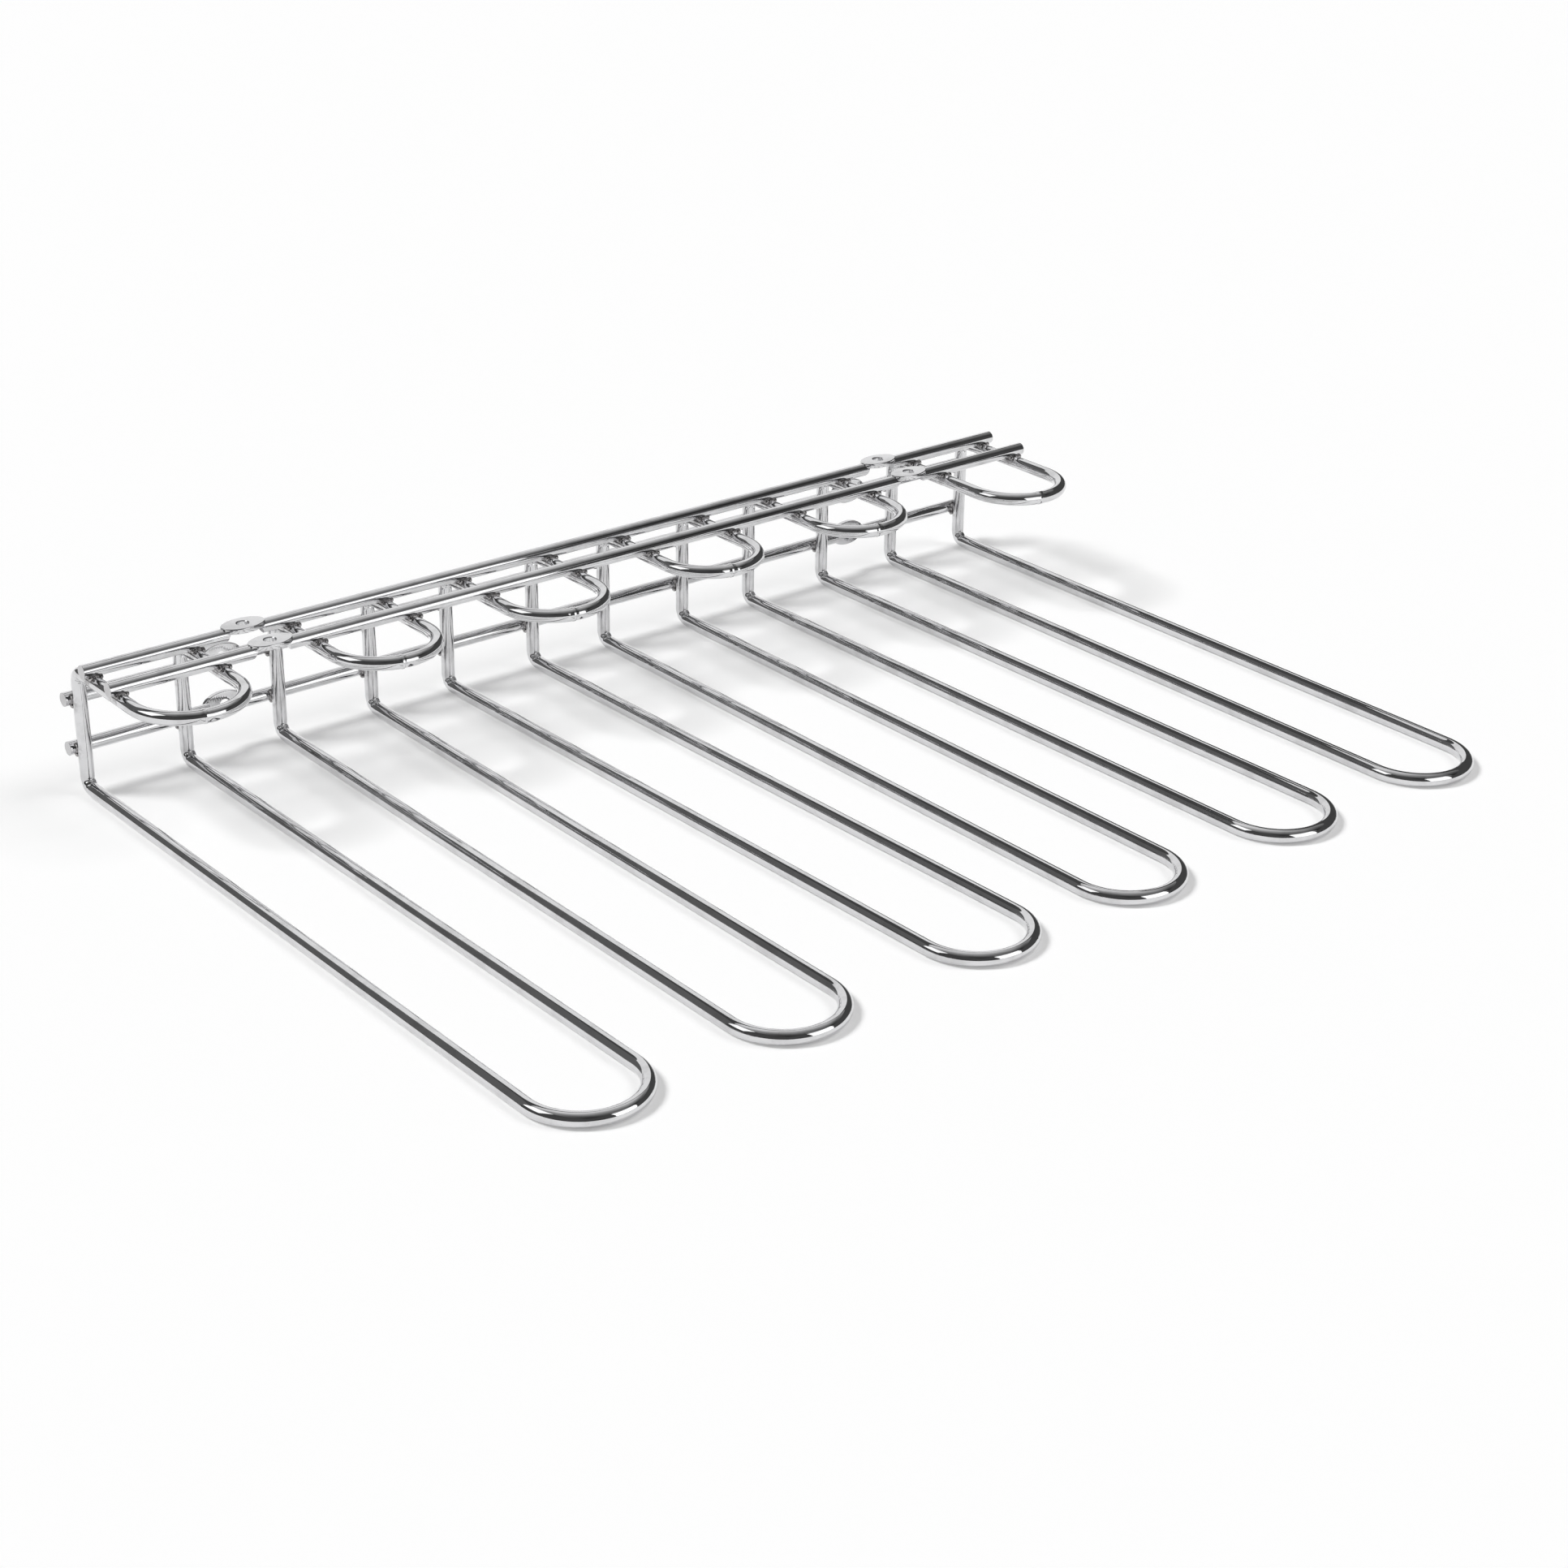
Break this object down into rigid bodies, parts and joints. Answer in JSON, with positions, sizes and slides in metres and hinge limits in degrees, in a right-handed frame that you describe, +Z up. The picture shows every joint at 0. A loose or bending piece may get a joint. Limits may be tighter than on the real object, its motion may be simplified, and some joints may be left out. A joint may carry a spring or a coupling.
{
  "type": "hanging glass rack",
  "caption": "Plated wire rack for stemmed glasses: C-shaped wire loops welded to round rails with pressed, pierced screw lugs, for under a shelf or on a wall.",
  "frame": {"origin": "under the middle of the rack's box, on the level that the long arms rest on", "axes": "+X to the right along the rails, +Y to the back, where the wall is, +Z up to the shelf; glasses slide in from -Y"},
  "size_m": [0.496, 0.3519, 0.0639],
  "materials": {
    "loop_wire": "bright chrome plate on bent steel wire",
    "rail_wire": "bright chrome plate on straight steel wire with pressed lugs",
    "weld_bead": "plated weld flash, rougher and darker than the wire"
  },
  "bodies": {
    "root": {"glass_loop_1": "loop_wire", "glass_loop_2": "loop_wire", "glass_loop_3": "loop_wire", "glass_loop_4": "loop_wire", "glass_loop_5": "loop_wire", "glass_loop_6": "loop_wire", "top_rail_rear": "rail_wire", "top_rail_front": "rail_wire", "back_rail_upper": "rail_wire", "back_rail_lower": "rail_wire", "welds_top_rail_rear": "weld_bead", "welds_top_rail_front": "weld_bead", "welds_back_rail_upper": "weld_bead", "welds_back_rail_lower": "weld_bead"}
  },
  "joints": []
}
